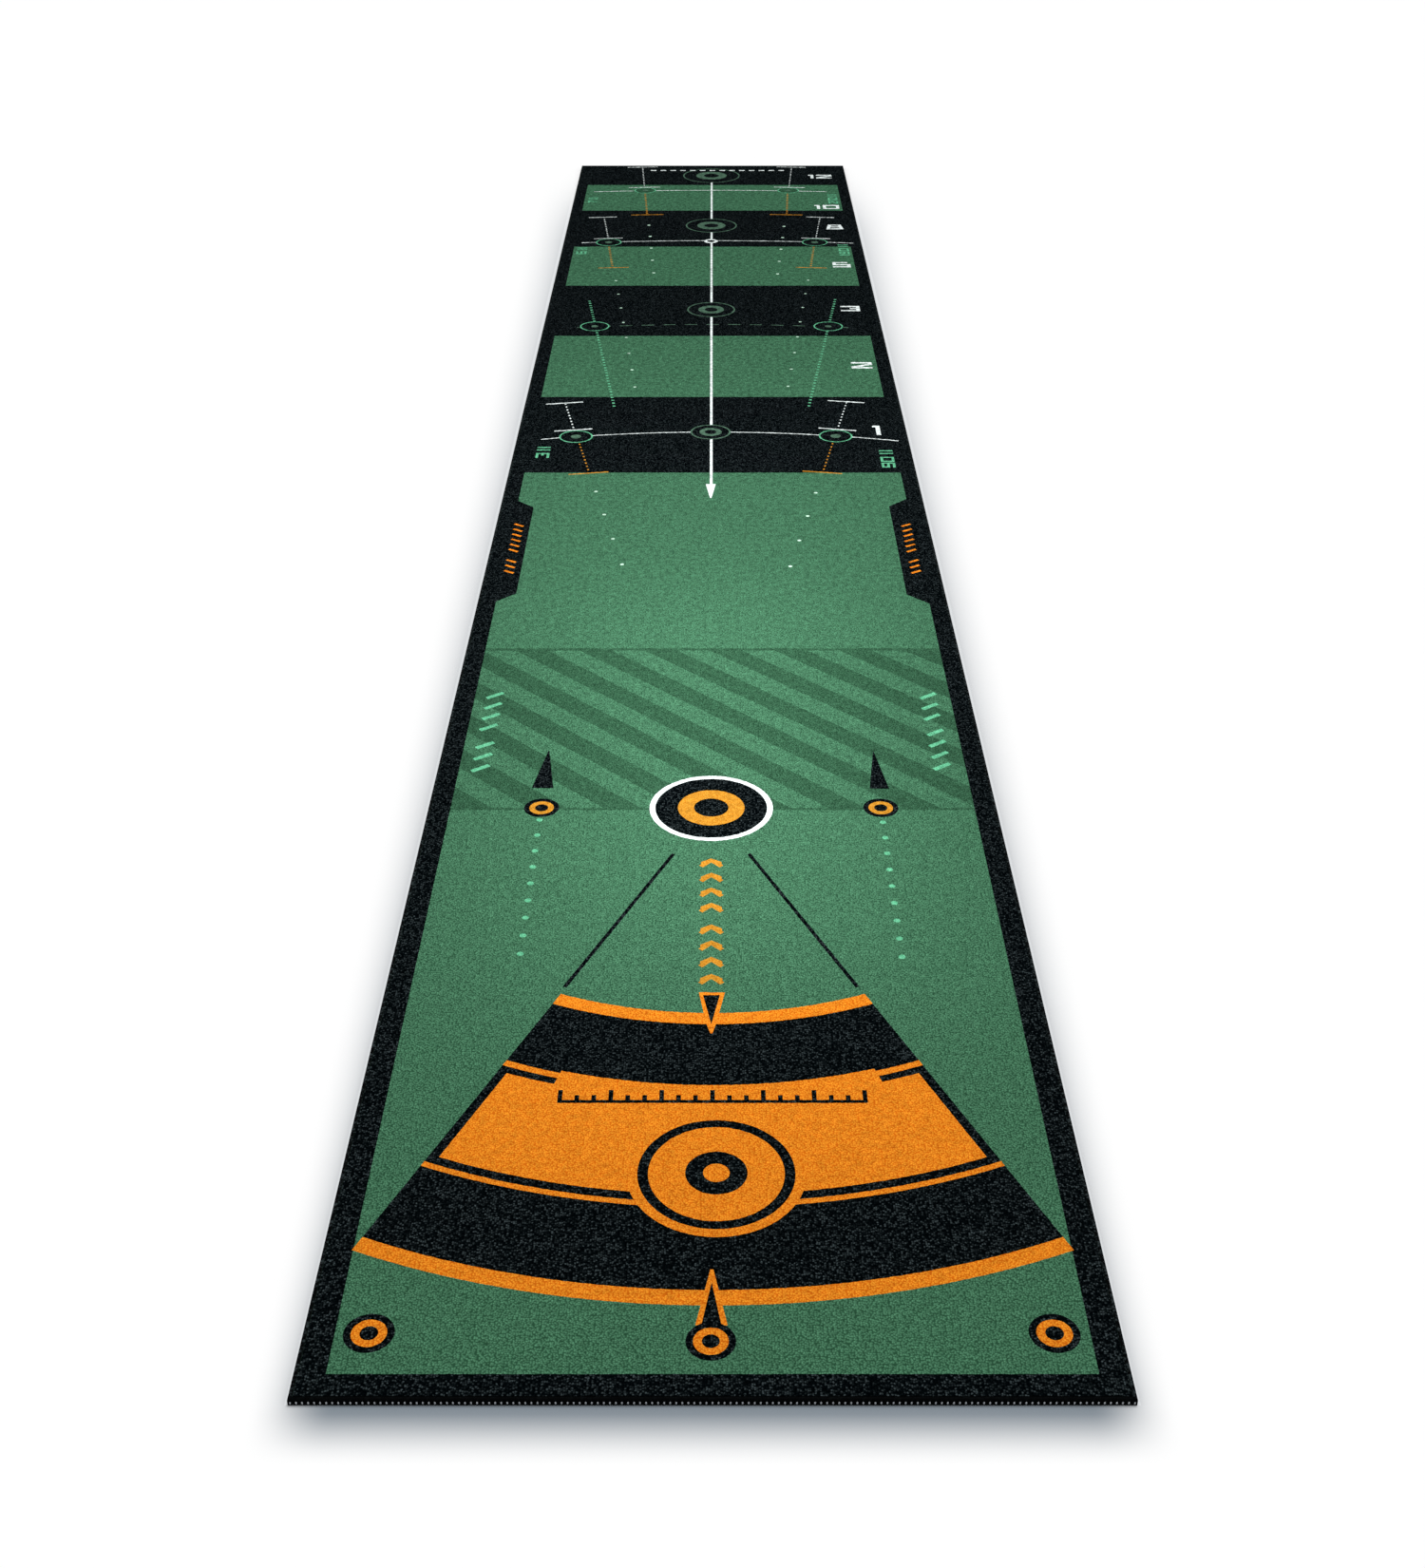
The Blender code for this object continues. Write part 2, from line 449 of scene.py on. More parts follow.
def number(piece, text, corner, size, stroke, sideways=False):
    """Plain block numerals from a lower left corner. size is a digit's width and height.

    Sideways numerals read upwards, and a 1 is as wide as its stroke and its flag.
    """
    reach = stroke / 2
    cursor = 0.0
    for digit in text:
        width = stroke * FLAG if digit == "1" else size[0] - stroke
        for line in DIGITS[digit]:
            points = [(cursor + reach + px * width, reach + py * (size[1] - stroke)) for px, py in line]
            if sideways:
                points = [(-py, px) for px, py in points]
            for start, end in zip(points, points[1:]):
                length = math.dist(start, end)
                first = between(start, end, -reach / length)
                last = between(start, end, 1 + reach / length)
                loop = bar(first, last, stroke)
                mark(piece, [(corner[0] + px, corner[1] + py) for px, py in loop])
        cursor += width + stroke * DIGIT_STEP


def centre_target(band, centre, thin, inner, outer):
    """A practice target on the centre line: a disc of the band's dye, a thin ring and a bold ring."""
    disc(band, centre, thin)
    ring("far_targets_sage", centre, thin - 1.8, thin + 0.6)
    ring("far_targets_sage", centre, inner, outer)


def side_rings(fill, centres, radius, dot):
    for centre in centres:
        disc(fill, centre, radius)
        ring("side_rings_mint", centre, radius - 1.3, radius + 0.7)
        disc("far_targets_sage", centre, dot)


def gauge(piece, stem, *caps, pitch=10.7, stem_width=2.0, cap_width=2.6):
    """A distance gauge: a dashed stem with a bar across one end or both."""
    dashes(piece, *stem, pitch, stem_width)
    for cap in caps:
        mark(piece, bar(*cap, cap_width))


def print_first_row():
    """Arc, rings and gauges on the first band."""
    mark("distance_arcs_white", arc_band(TARGET, 918.0, 919.9, -13.7, 15.0))
    side_rings("first_band_black", ((-174.5, 1563.2), (157.5, 1565.2)), 20.8, 6.6)
    gauge(
        "gauges_white",
        ((-196.6, 1688.2), (-179.1, 1590.9)),
        ((-203.5, 1582.5), (-155.0, 1591.0)),
        ((-221.5, 1682.5), (-172.5, 1691.0)),
    )
    gauge(
        "gauges_white",
        ((179.6, 1693.3), (162.5, 1596.1)),
        ((137.0, 1594.0), (185.0, 1584.0)),
        ((154.0, 1696.5), (202.5, 1688.0)),
    )
    gauge("gauges_amber", ((-169.3, 1541.9), (-151.9, 1445.4)), ((-176.0, 1435.0), (-127.5, 1443.5)))
    gauge("gauges_amber", ((153.0, 1543.5), (136.0, 1447.0)), ((110.5, 1446.5), (158.5, 1437.7)))


def print_second_row():
    """A dashed arc, with a ring and a dotted line on each side."""
    middle = 0.05
    pitch = 1.345
    half = 0.38
    for i in range(-6, 7):
        bearing = middle + pitch * i
        mark("dashed_arc_sage", arc_band(TARGET, 1361.6, 1364.0, bearing - half, bearing + half))
    dashes("far_dotted_lines_mint", (-130.0, 1670.0), (-189.0, 2143.0), pitch=11.2, width=3.7)
    dashes("far_dotted_lines_mint", (127.5, 1671.0), (189.0, 2151.0), pitch=11.2, width=3.7)
    side_rings("second_band_black", ((-174.0, 2014.4), (171.0, 2014.4)), 21.0, 5.0)


def print_third_row():
    """Arc, rings and gauges on the third band."""
    mark("distance_arcs_white", arc_band(TARGET, 1814.0, 1816.2, -6.9, 7.5))
    side_rings("third_band_black", ((-174.0, 2465.6), (171.5, 2465.6)), 20.8, 6.0)
    gauge(
        "gauges_white",
        ((-189.0, 2620.0), (-176.5, 2495.0)),
        ((-200.0, 2487.0), (-151.5, 2492.0)),
        ((-216.0, 2622.0), (-167.5, 2627.0)),
    )
    gauge(
        "gauges_white",
        ((187.5, 2620.0), (175.0, 2495.0)),
        ((150.0, 2492.0), (198.5, 2487.0)),
        ((164.0, 2627.0), (212.5, 2622.0)),
    )
    for stem, cap in (
        (((-172.5, 2441.0), (-161.5, 2322.0)), ((-184.0, 2315.0), (-135.0, 2319.0))),
        (((169.0, 2441.0), (158.5, 2322.0)), ((134.0, 2319.0), (184.0, 2315.0))),
    ):
        gauge("gauges_amber", stem, cap, stem_width=3.4, cap_width=2.9)


def print_fourth_row():
    """Arc, rings and gauges at the fourth field."""
    mark("distance_arcs_white", arc_band(TARGET, 2150.0, 2152.2, -5.75, 5.6))
    side_rings("ring_fill_shade", ((-123.0, 2810.4), (138.5, 2810.4)), 19.0, 5.0)
    gauge(
        "gauges_white",
        ((-133.0, 2982.0), (-125.5, 2838.0)),
        ((-154.0, 2830.5), (-96.5, 2834.5)),
        ((-161.5, 2984.0), (-105.0, 2988.0)),
    )
    gauge(
        "gauges_white",
        ((150.5, 2982.0), (141.0, 2838.0)),
        ((113.0, 2834.5), (170.0, 2830.5)),
        ((122.5, 2988.0), (177.5, 2984.0)),
    )
    for stem, cap in (
        (((-122.5, 2790.0), (-115.0, 2645.0)), ((-142.5, 2639.5), (-86.0, 2643.0))),
        (((136.5, 2790.0), (130.5, 2645.0)), ((101.0, 2643.0), (158.0, 2639.5))),
    ):
        gauge("gauges_amber", stem, cap, stem_width=3.2, cap_width=2.9)


def print_centre_line():
    """The white line to the far target, its arrowhead, and the targets on it."""
    width = 3.3
    mark("centre_line_white", rectangle(LINE_X - width / 2, LINE_X + width / 2, 1400.0, 2869.0))
    mark("centre_line_white", [(-8.2, 1404.5), (4.0, 1404.5), (-1.3, 1361.0), (-2.9, 1361.0)])
    centre_target("first_band_black", (-2.5, 1579.7), 25.4, 7.5, 14.3)
    centre_target("second_band_black", (-2.0, 2095.7), 35.7, 9.6, 19.4)
    centre_target("third_band_black", (-2.0, 2570.6), 43.4, 12.2, 24.3)
    centre_target("fourth_band_black", (-2.0, 2920.4), 52.4, 14.2, 28.8)
    disc("third_band_black", (-2.5, 2472.6), 11.6)
    ring("centre_line_white", (-2.5, 2472.6), 6.6, 11.6)


def print_path_dots():
    """Rows of pale dots that show the path of a putt."""
    rows = (
        ((-100.0, 1172.0), (-13.2, 69.7), 4, 2.2),
        ((86.0, 1167.0), (12.5, 70.0), 4, 2.2),
        ((-105.5, 1750.0), (-6.7, 70.7), 8, 2.1),
        ((103.0, 1753.0), (6.86, 70.6), 8, 2.1),
        ((-94.0, 2288.0), (-3.9, 71.2), 5, 2.6),
        ((104.0, 2282.0), (4.75, 70.75), 5, 2.6),
    )
    for start, step, count, radius in rows:
        dots("path_dots_pale", start, step, count, radius)


def print_numbers():
    """Numbers down the right-hand side, and small distances, each with two bars after it."""
    width = 29.0
    stroke = 5.6
    for text, left, near, height in (
        ("1", 206.6, 1569.0, 33.0),
        ("2", 194.4, 1826.5, 26.5),
        ("3", 194.2, 2087.5, 26.0),
        ("5", 194.5, 2319.0, 29.0),
        ("8", 195.5, 2546.5, 29.0),
        ("10", 181.6, 2680.5, 26.0),
        ("12", 179.7, 2900.0, 26.5),
    ):
        number("numbers_white", text, (left, near), (width, height), stroke)
    small = (16.0, 17.0)
    fine = 3.2
    for text, right, near, bars in (
        ("3", -204.0, 1490.0, 1515.0),
        ("90", 226.0, 1458.0, 1503.0),
        ("6", -208.0, 2395.0, 2420.0),
        ("180", 226.0, 2386.0, 2439.0),
        ("7", -206.5, 2722.0, 2747.0),
        ("210", 225.0, 2717.0, 2770.0),
    ):
        number("distances_mint", text, (right, near), small, fine, sideways=True)
        for y in (bars, bars + 9.0):
            mark("distances_mint", rectangle(right - small[1], right, y, y + fine))


def print_end_dashes():
    """A row of short dashes at the far end."""
    start = -117.0
    pitch = 18.6
    dash = 10.5
    for i in range(14):
        x = start + pitch * i
        mark("end_dashes_white", rectangle(x, x + dash, 2957.5, 2963.0))


def print_pattern():
    print_ground()
    print_stripes()
    print_tabs()
    print_fan()
    print_emblem()
    print_start_marks()
    print_aim_arrows()
    print_targets()
    print_side_hatches()
    print_first_row()
    print_second_row()
    print_third_row()
    print_fourth_row()
    print_path_dots()
    print_centre_line()
    print_numbers()
    print_end_dashes()


# ---- pile surface


def resampled(loop, step):
    """The loop with points added, so that no edge is longer than step."""
    points = []
    for here, there in zip(loop, np.roll(loop, -1, axis=0)):
        count = max(1, math.ceil(math.dist(here, there) / step))
        for i in range(count):
            points.append(here + (there - here) * i / count)
    return np.array(points)


def tuft_grid(outlines, random):
    """One jittered point in each cell of a grid over the pile that no outline crosses."""
    edge = PILE_EDGE / MM
    low = np.array((edge - MAT_WIDTH / 2, edge))
    high = np.array((MAT_WIDTH / 2 - edge, MAT_LENGTH - edge))
    cells = np.round((high - low) / TUFT_PITCH).astype(int)
    size = (high - low) / cells
    taken = np.zeros(cells, bool)
    for outline in outlines:
        fine = resampled(outline, TUFT_PITCH / 4)
        index = np.floor((fine - low) / size).astype(int)
        index = np.clip(index, 0, cells - 1)
        taken[index[:, 0], index[:, 1]] = True
    column, row = np.nonzero(~taken)
    centres = np.stack((column, row), axis=1) + 0.5
    centres += random.uniform(-TUFT_JITTER, TUFT_JITTER, centres.shape)
    return low + centres * size


def inside(points, loops):
    """Even-odd test of many points against loops."""
    found = np.zeros(len(points), bool)
    x = points[:, 0]
    y = points[:, 1]
    for loop in loops:
        for (x0, y0), (x1, y1) in zip(loop, np.roll(loop, -1, axis=0)):
            if y0 != y1:
                found ^= ((y0 > y) != (y1 > y)) & (x < x0 + (y - y0) * (x1 - x0) / (y1 - y0))
    return found


# What a triangulation covers: the points' whole hull, or only what the edges enclose, without its holes
HULL = 0
ENCLOSED = 2
SAME_POINT = 1e-5


def triangulate(points, edges, cover):
    """Constrained Delaunay triangles: (points, triangles, the input points of each output point)."""
    vectors = [Vector(p) for p in points.tolist()]
    made = delaunay_2d_cdt(vectors, edges, [], cover, SAME_POINT)
    places = np.array([tuple(v) for v in made[0]])
    return places, np.array(made[2]), made[3]


def colour_triangles(places, triangles):
    """For each triangle, the index of the last mark that covers it, or -1."""
    centres = places[triangles].mean(axis=1)
    order = np.argsort(centres[:, 1])
    centres = centres[order]
    found = np.full(len(centres), -1)
    for index, (_, loops) in enumerate(MARKS):
        low = np.min([loop.min(axis=0) for loop in loops], axis=0)
        high = np.max([loop.max(axis=0) for loop in loops], axis=0)
        first, last = np.searchsorted(centres[:, 1], (low[1], high[1]))
        near = np.arange(first, last)
        near = near[(centres[near, 0] > low[0]) & (centres[near, 0] < high[0])]
        found[near[inside(centres[near], loops)]] = index
    result = np.empty_like(found)
    result[order] = found
    return result


def add_mesh(name, points, faces, smooth_below=50.0):
    """A mesh object from arrays, smooth except where faces meet at more than smooth_below degrees."""
    mesh = bpy.data.meshes.new(name)
    mesh.from_pydata(np.asarray(points).tolist(), [], faces)
    mesh.shade_smooth()
    mesh.set_sharp_from_angle(angle=math.radians(smooth_below))
    piece = bpy.data.objects.new(name, mesh)
    bpy.context.scene.collection.objects.link(piece)
    return piece


def dyed_area(name, places, heights, triangles):
    """One dyed part of the pile as a closed solid: tufts on top, walls at its rim, flat below."""
    used, local = np.unique(triangles, return_inverse=True)
    top = local.reshape(-1, 3)
    plan = places[used]
    count = len(used)
    starts = top.ravel()
    ends = np.roll(top, -1, axis=1).ravel()
    forward = starts * count + ends
    rim = ~np.isin(forward, ends * count + starts)
    rim_edges = np.stack((starts[rim], ends[rim]), axis=1)
    rim_points, rim_local = np.unique(rim_edges, return_inverse=True)
    rim_local = rim_local.reshape(-1, 2)
    _, floor, sources = triangulate(plan[rim_points], rim_local.tolist(), ENCLOSED)
    lower = {source: count + i for i, source in enumerate(rim_points)}
    walls = [(a, lower[a], lower[b], b) for a, b in rim_edges.tolist()]
    under = [tuple(count + sources[v][0] for v in reversed(face)) for face in floor.tolist()]
    points = np.zeros((count + len(rim_points), 3))
    points[:count, :2] = plan
    points[count:, :2] = plan[rim_points]
    points[:, 0] *= MM
    points[:, 1] = points[:, 1] * MM + NEAR_EDGE
    points[:count, 2] = heights[used]
    points[count:, 2] = GROUND_TOP
    piece = add_mesh(name, points, top.tolist() + walls + under)
    tip = piece.data.attributes.new("tip", "FLOAT", "POINT")
    tip.data.foreach_set("value", np.clip((points[:, 2] - TUFT_TOP) / TUFT_RELIEF + 1, 0, 1))
    return piece


def build_pile(random):
    """The dyed areas of the pile, by name. At the rim the tufts are no higher than the tape."""
    print_pattern()
    outlines = [resampled(loop, TUFT_PITCH) for _, loops in MARKS for loop in loops]
    points = [tuft_grid(outlines, random)]
    edges = []
    total = len(points[0])
    for outline in outlines:
        count = len(outline)
        edges += [(total + i, total + (i + 1) % count) for i in range(count)]
        points.append(outline)
        total += count
    places, triangles, _ = triangulate(np.concatenate(points), edges, HULL)
    owner = colour_triangles(places, triangles)
    heights = TUFT_TOP - TUFT_RELIEF * random.random(len(places))
    edge = PILE_EDGE / MM + RIM_TOLERANCE
    at_side = np.abs(places[:, 0]) > MAT_WIDTH / 2 - edge
    at_end = np.abs(places[:, 1] - MAT_LENGTH / 2) > MAT_LENGTH / 2 - edge
    at_rim = at_side | at_end
    heights[at_rim] = TAPE_TOP - 0.5 * TUFT_RELIEF * random.random(at_rim.sum())
    names = sorted({name for name, _ in MARKS})
    kinds = np.array([names.index(name) for name, _ in MARKS] + [-1])[owner]
    areas = {}
    for i, name in enumerate(names):
        chosen = triangles[kinds == i]
        if len(chosen):
            areas[name] = dyed_area(name, places, heights, chosen)
    return areas


# ---- materials


class Nodes:
    """Short calls that build one material's nodes."""

    def __init__(self, name):
        self.material = bpy.data.materials.new(name)
        self.material.use_nodes = True
        self.tree = self.material.node_tree
        self.shader = self.tree.nodes["Principled BSDF"]
        self.coords = self.tree.nodes.new("ShaderNodeTexCoord").outputs["Object"]

    def put(self, socket, value):
        if isinstance(value, bpy.types.NodeSocket):
            self.tree.links.new(value, socket)
        else:
            socket.default_value = value

    def node(self, kind, settings=(), **inputs):
        made = self.tree.nodes.new(kind)
        for key, value in dict(settings).items():
            setattr(made, key, value)
        for key, value in inputs.items():
            self.put(made.inputs[key.replace("_", " ")], value)
        return made

    def noise(self, scale, detail=2.0, roughness=0.5, coords=None):
        made = self.node(
            "ShaderNodeTexNoise",
            Vector=coords or self.coords,
            Scale=scale,
            Detail=detail,
            Roughness=roughness,
        )
        return made.outputs["Fac"]

    def stretched(self, scale):
        """Object coordinates, scaled differently along each axis."""
        return self.node("ShaderNodeMapping", Vector=self.coords, Scale=scale).outputs["Vector"]

    def wobbled(self):
        """Object coordinates, pushed about so that what is drawn on them comes out ragged."""
        push = self.node("ShaderNodeTexNoise", Vector=self.coords, Scale=620.0, Detail=2.0).outputs["Color"]
        centred = self.tree.nodes.new("ShaderNodeVectorMath")
        centred.operation = "MULTIPLY_ADD"
        self.put(centred.inputs[0], push)
        centred.inputs[1].default_value = (TUFT_SPACING,) * 3
        centred.inputs[2].default_value = (-TUFT_SPACING / 2,) * 3
        moved = self.tree.nodes.new("ShaderNodeVectorMath")
        self.put(moved.inputs[0], self.coords)
        self.put(moved.inputs[1], centred.outputs["Vector"])
        return moved.outputs["Vector"]

    def attribute(self, name):
        return self.node("ShaderNodeAttribute", {"attribute_name": name}).outputs["Fac"]

    def ramp(self, value, low, high, to_low=0.0, to_high=1.0):
        made = self.node("ShaderNodeMapRange", {"clamp": True}, Value=value)
        limits = {"From Min": low, "From Max": high, "To Min": to_low, "To Max": to_high}
        for key, limit in limits.items():
            made.inputs[key].default_value = limit
        return made.outputs["Result"]

    def maths(self, operation, first, second=0.0):
        made = self.tree.nodes.new("ShaderNodeMath")
        made.operation = operation
        self.put(made.inputs[0], first)
        self.put(made.inputs[1], second)
        return made.outputs["Value"]

    def mix(self, share, first, second):
        """A mix of two colours. The Mix node has its colours at inputs 6 and 7, and at output 2."""
        made = self.tree.nodes.new("ShaderNodeMix")
        made.data_type = "RGBA"
        self.put(made.inputs["Factor"], share)
        for socket, value in ((made.inputs[6], first), (made.inputs[7], second)):
            self.put(socket, (*value, 1.0) if isinstance(value, tuple) else value)
        return made.outputs[2]

    def bump(self, height, distance, strength=1.0):
        made = self.node("ShaderNodeBump", Height=height, Distance=distance, Strength=strength)
        return made.outputs["Normal"]

    def finish(self, color, roughness, normal=None, **fixed):
        self.put(self.shader.inputs["Base Color"], color)
        self.put(self.shader.inputs["Roughness"], roughness)
        if normal is not None:
            self.put(self.shader.inputs["Normal"], normal)
        for key, value in fixed.items():
            self.shader.inputs[key.replace("_", " ")].default_value = value
        return self.material


def pile_material(dye):
    """Cut pile: pale tips and dark gaps, fibres, and each tuft a little brighter or darker. Tips and gaps
    are partly the dye and partly painted light: painted highlight on the tips, painted shade in the gaps.

    Clumps grow stronger along the mat. Low tufts are darker, a painted shade, and a dye may be darker
    beyond the main target, also a painted shade.
    """
    gaps, tips, evenness, rarity, painted_far_shade = DYES_AND_PAINTED_LIGHT[dye]
    nodes = Nodes("pile_" + dye)
    flat = {"voronoi_dimensions": "2D"}
    cells = nodes.node(
        "ShaderNodeTexVoronoi", flat, Vector=nodes.wobbled(), Scale=1 / TUFT_SPACING, Randomness=0.85
    )
    tip = nodes.ramp(cells.outputs["Distance"], 0.10, 0.62, 1.0, 0.0)
    lot = nodes.node("ShaderNodeSeparateColor", Color=cells.outputs["Color"]).outputs["Red"]
    bright = nodes.ramp(nodes.maths("POWER", lot, rarity), 0.0, 1.0, evenness, 1.0)
    fibres = nodes.ramp(nodes.noise(1500.0, detail=2.0), 0.3, 0.7, 0.75, 1.25)
    clumps = nodes.ramp(nodes.noise(170.0, detail=2.0, roughness=0.6), 0.34, 0.66, -1.0, 1.0)
    along = nodes.node("ShaderNodeSeparateXYZ", Vector=nodes.coords).outputs["Y"]
    wear = nodes.ramp(along, NEAR_EDGE + 0.3, NEAR_EDGE + 2.0, 0.10, 0.36)
    # Painted shade: from the main target to the far end the dye is painted darker, so that it brightens
    # less under the lamps
    painted_far_ramp = nodes.ramp(along, NEAR_EDGE + 0.10, NEAR_EDGE + 0.80, 1.0, painted_far_shade)
    worn = nodes.maths("ADD", nodes.maths("MULTIPLY", clumps, wear), 1.0)
    slow = nodes.maths("MULTIPLY", worn, painted_far_ramp)
    share = nodes.maths("MULTIPLY", nodes.maths("MULTIPLY", tip, bright), fibres)
    # Mix of gap and tip colours: partly the dye, partly painted shade in the gaps and painted highlight on
    # the tips
    color = nodes.mix(share, gaps, tips)
    # Painted shade: lower tufts are darker, by their height
    height = nodes.ramp(nodes.attribute("tip"), 0.0, 0.5, 0.85, 1.0)
    value = nodes.maths("MULTIPLY", height, slow)
    scaled = nodes.node("ShaderNodeHueSaturation", Color=color, Value=value)
    roughness = nodes.ramp(share, 0.0, 1.0, 0.98, 0.86)
    normal = nodes.bump(share, 0.0006, 0.5)
    return nodes.finish(scaled.outputs["Color"], roughness, normal, Specular_IOR_Level=0.0)


def tape_material(name, lint):
    """Woven polyester tape: fine ribs across its length, and specks of lint of the given brightness."""
    nodes = Nodes(name)
    weave = nodes.noise(1.0, detail=1.0, coords=nodes.stretched((2600.0, 2600.0, 900.0)))
    slow = nodes.noise(60.0, detail=3.0)
    ribs = nodes.mix(nodes.ramp(weave, 0.35, 0.65), (0.0004, 0.0005, 0.0006), (0.0018, 0.0022, 0.0025))
    specks = nodes.ramp(nodes.noise(480.0, detail=2.0), 0.50, 0.70)
    color = nodes.mix(specks, ribs, (lint * 0.75, lint, lint * 1.06))
    roughness = nodes.ramp(slow, 0.3, 0.7, 0.62, 0.8)
    return nodes.finish(color, roughness, nodes.bump(weave, 0.0001, 0.7), Specular_IOR_Level=0.01)


def thread_material():
    """Two-ply polyester thread."""
    nodes = Nodes("edge_thread")
    twist = nodes.noise(1.0, detail=1.0, coords=nodes.stretched((3000.0, 3000.0, 1100.0)))
    color = nodes.mix(nodes.ramp(twist, 0.3, 0.7), (0.30, 0.32, 0.34), (0.55, 0.57, 0.60))
    roughness = nodes.ramp(twist, 0.3, 0.7, 0.5, 0.68)
    return nodes.finish(color, roughness, nodes.bump(twist, 0.0002, 0.8), Specular_IOR_Level=0.3)


def rubber_material():
    nodes = Nodes("backing_rubber")
    grain = nodes.noise(900.0, detail=3.0)
    dust = nodes.noise(24.0, detail=4.0)
    color = nodes.mix(nodes.ramp(dust, 0.35, 0.75), (0.010, 0.011, 0.012), (0.022, 0.023, 0.024))
    roughness = nodes.ramp(grain, 0.3, 0.7, 0.62, 0.82)
    return nodes.finish(color, roughness, nodes.bump(grain, 0.0002, 0.6), Specular_IOR_Level=0.4)


def adhesive_material():
    nodes = Nodes("adhesive")
    swirl = nodes.noise(45.0, detail=5.0)
    bubbles = nodes.noise(700.0, detail=1.0)
    color = nodes.mix(nodes.ramp(swirl, 0.3, 0.7), (0.50, 0.46, 0.34), (0.62, 0.58, 0.46))
    roughness = nodes.ramp(bubbles, 0.3, 0.7, 0.35, 0.55)
    return nodes.finish(color, roughness, nodes.bump(bubbles, 0.0002, 0.5), Specular_IOR_Level=0.5)


def scrim_material():
    """Plain weave, from two crossed waves."""
    nodes = Nodes("scrim")
    waves = []
    for direction in ("X", "Y"):
        settings = {"wave_type": "BANDS", "bands_direction": direction}
        wave = nodes.node("ShaderNodeTexWave", settings, Vector=nodes.coords, Scale=120.0, Distortion=0.4)
        waves.append(wave.outputs["Fac"])
    weave = nodes.maths("MAXIMUM", waves[0], waves[1])
    color = nodes.mix(weave, (0.20, 0.19, 0.16), (0.36, 0.34, 0.30))
    roughness = nodes.ramp(weave, 0.0, 1.0, 0.95, 0.8)
    return nodes.finish(color, roughness, nodes.bump(weave, 0.0003, 0.9), Specular_IOR_Level=0.2)


# ---- edge, backing and ground fabric


def loft(name, stations, smooth_below=35.0):
    """A closed solid through loops of points that have the same count, with its ends capped."""
    count = len(stations[0])
    points = np.concatenate([np.asarray(s, float) for s in stations])
    faces = []
    for k in range(len(stations) - 1):
        for i in range(count):
            j = (i + 1) % count
            a = k * count
            b = a + count
            faces.append((a + i, a + j, b + j, b + i))
    faces.append(tuple(range(count - 1, -1, -1)))
    faces.append(tuple((len(stations) - 1) * count + i for i in range(count)))
    return add_mesh(name, points, faces, smooth_below)


SIDES = {"right": 0, "rear": 1, "left": 2, "front": 3}


def side_frame(turns):
    """The length along a side, and a function from (inset, run, z) to a point of the mat."""
    width = MAT_WIDTH * MM
    length = MAT_LENGTH * MM
    across, along = (width, length) if turns % 2 == 0 else (length, width)
    cos_turn = round(math.cos(turns * math.pi / 2))
    sin_turn = round(math.sin(turns * math.pi / 2))

    def place(inset, run, z):
        out = across / 2 - inset
        return (out * cos_turn - run * sin_turn, out * sin_turn + run * cos_turn, z)

    return along, place


def tape_profile():
    """(inset, z, how far a stitch pulls it in) round the section of the folded tape."""
    bottom_steps = 4
    top_steps = 6
    points = [(TAPE_LIP, 0.0, 0.0), (TAPE_FACE + TOP_FOLD * 1.5, 0.0, 0.0)]
    for i in range(bottom_steps + 1):
        angle = math.radians(270 - 90 * i / bottom_steps)
        inset = TAPE_FACE + BOTTOM_FOLD + BOTTOM_FOLD * math.cos(angle)
        points.append((inset, BOTTOM_FOLD + BOTTOM_FOLD * math.sin(angle), 0.2))
    for z, pull in ((0.0016, 0.7), (STITCH_Z, 1.0), (0.0034, 0.7)):
        points.append((TAPE_FACE, z, pull))
    for i in range(top_steps + 1):
        angle = math.radians(180 - 90 * i / top_steps)
        inset = TAPE_FACE + TOP_FOLD + TOP_FOLD * math.cos(angle)
        points.append((inset, TAPE_TOP - TOP_FOLD + TOP_FOLD * math.sin(angle), 0.15))
    points += [
        (TAPE_LIP - LIP_SOFTENING, TAPE_TOP, 0.0),
        (TAPE_LIP, TAPE_TOP - LIP_SOFTENING, 0.0),
        (TAPE_LIP, TAPE_TOP - TAPE_FLANGE, 0.0),
        (TAPE_FACE + TAPE_WALL, TAPE_TOP - TAPE_FLANGE, 0.0),
        (TAPE_FACE + TAPE_WALL, TAPE_FLANGE, 0.0),
        (TAPE_LIP, TAPE_FLANGE, 0.0),
    ]
    return points


def stitch_runs(along):
    """Where the middle of each stitch is along a side, from corner to corner, and the true pitch."""
    count = round(along / STITCH_PITCH)
    pitch = along / count
    return [-along / 2 + (i + 0.5) * pitch for i in range(count)], pitch


def build_tape(side, turns):
    """One length of tape, mitred at its ends. Each stitch but the first and last draws it in a little."""
    along, place = side_frame(turns)
    runs, pitch = stitch_runs(along)
    profile = tape_profile()
    stations = []
    steps = [(-along, 0.0)]
    for run in runs[1:-1]:
        steps += [(run - pitch / 4, 0.35), (run, 1.0), (run + pitch / 4, 0.35)]
    steps.append((along, 0.0))
    for run, pull in steps:
        station = []
        for inset, z, give in profile:
            limit = along / 2 - inset - TAPE_MITRE
            at = max(-limit, min(limit, run))
            station.append(place(inset + TAPE_PUCKER * pull * give, at, z))
        stations.append(station)
    return loft(f"{side}_folded_tape", stations)


